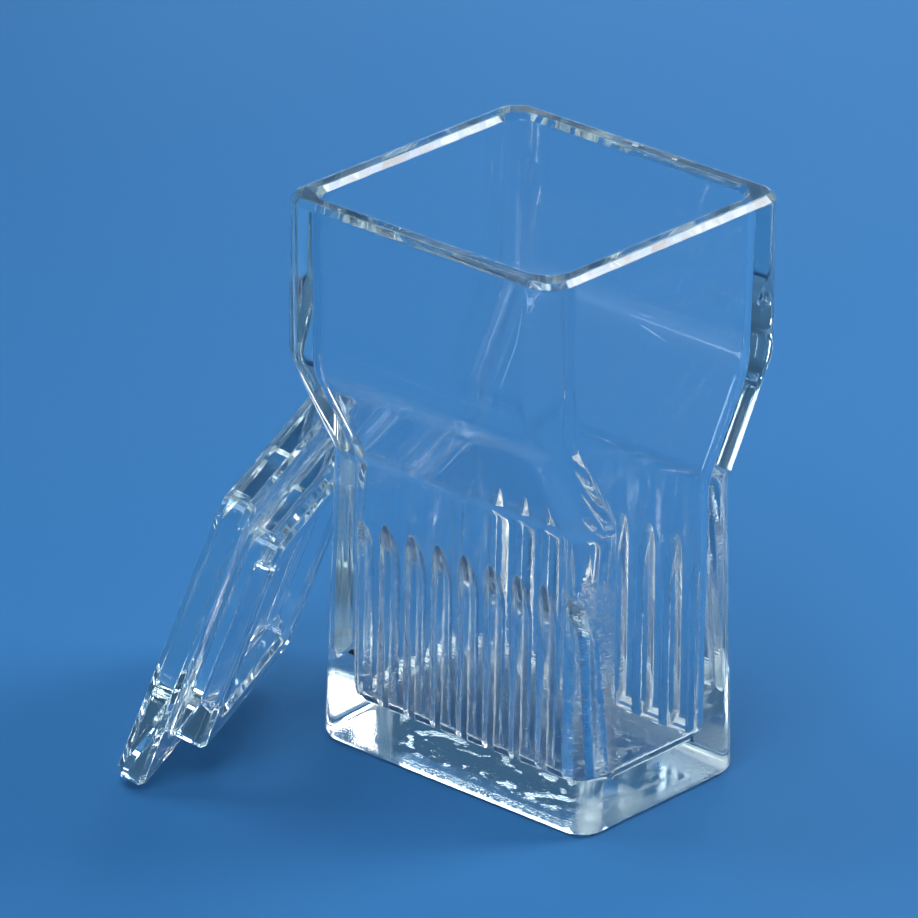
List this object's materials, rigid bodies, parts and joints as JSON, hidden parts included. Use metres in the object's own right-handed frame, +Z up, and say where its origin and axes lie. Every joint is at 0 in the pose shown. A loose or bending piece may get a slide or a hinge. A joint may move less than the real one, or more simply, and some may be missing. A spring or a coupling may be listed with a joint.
{
  "type": "slide staining jar",
  "caption": "Clear pressed glass jar with a flared mouth and ribbed walls that hold microscope slides upright in stain; its glass lid leans on it.",
  "frame": {"origin": "middle of the underside of the jar's base, on the surface it stands on", "axes": "+Z up, +X along the two ribbed walls, from slot to slot, +Y across the slots, along the width of a slide"},
  "size_m": [0.0946, 0.0865, 0.101],
  "materials": {
    "jar_glass": "fire-polished clear soda-lime glass",
    "lid_glass": "fire-polished clear soda-lime glass"
  },
  "bodies": {
    "root": {"jar": "jar_glass", "lid": "lid_glass"}
  },
  "joints": []
}
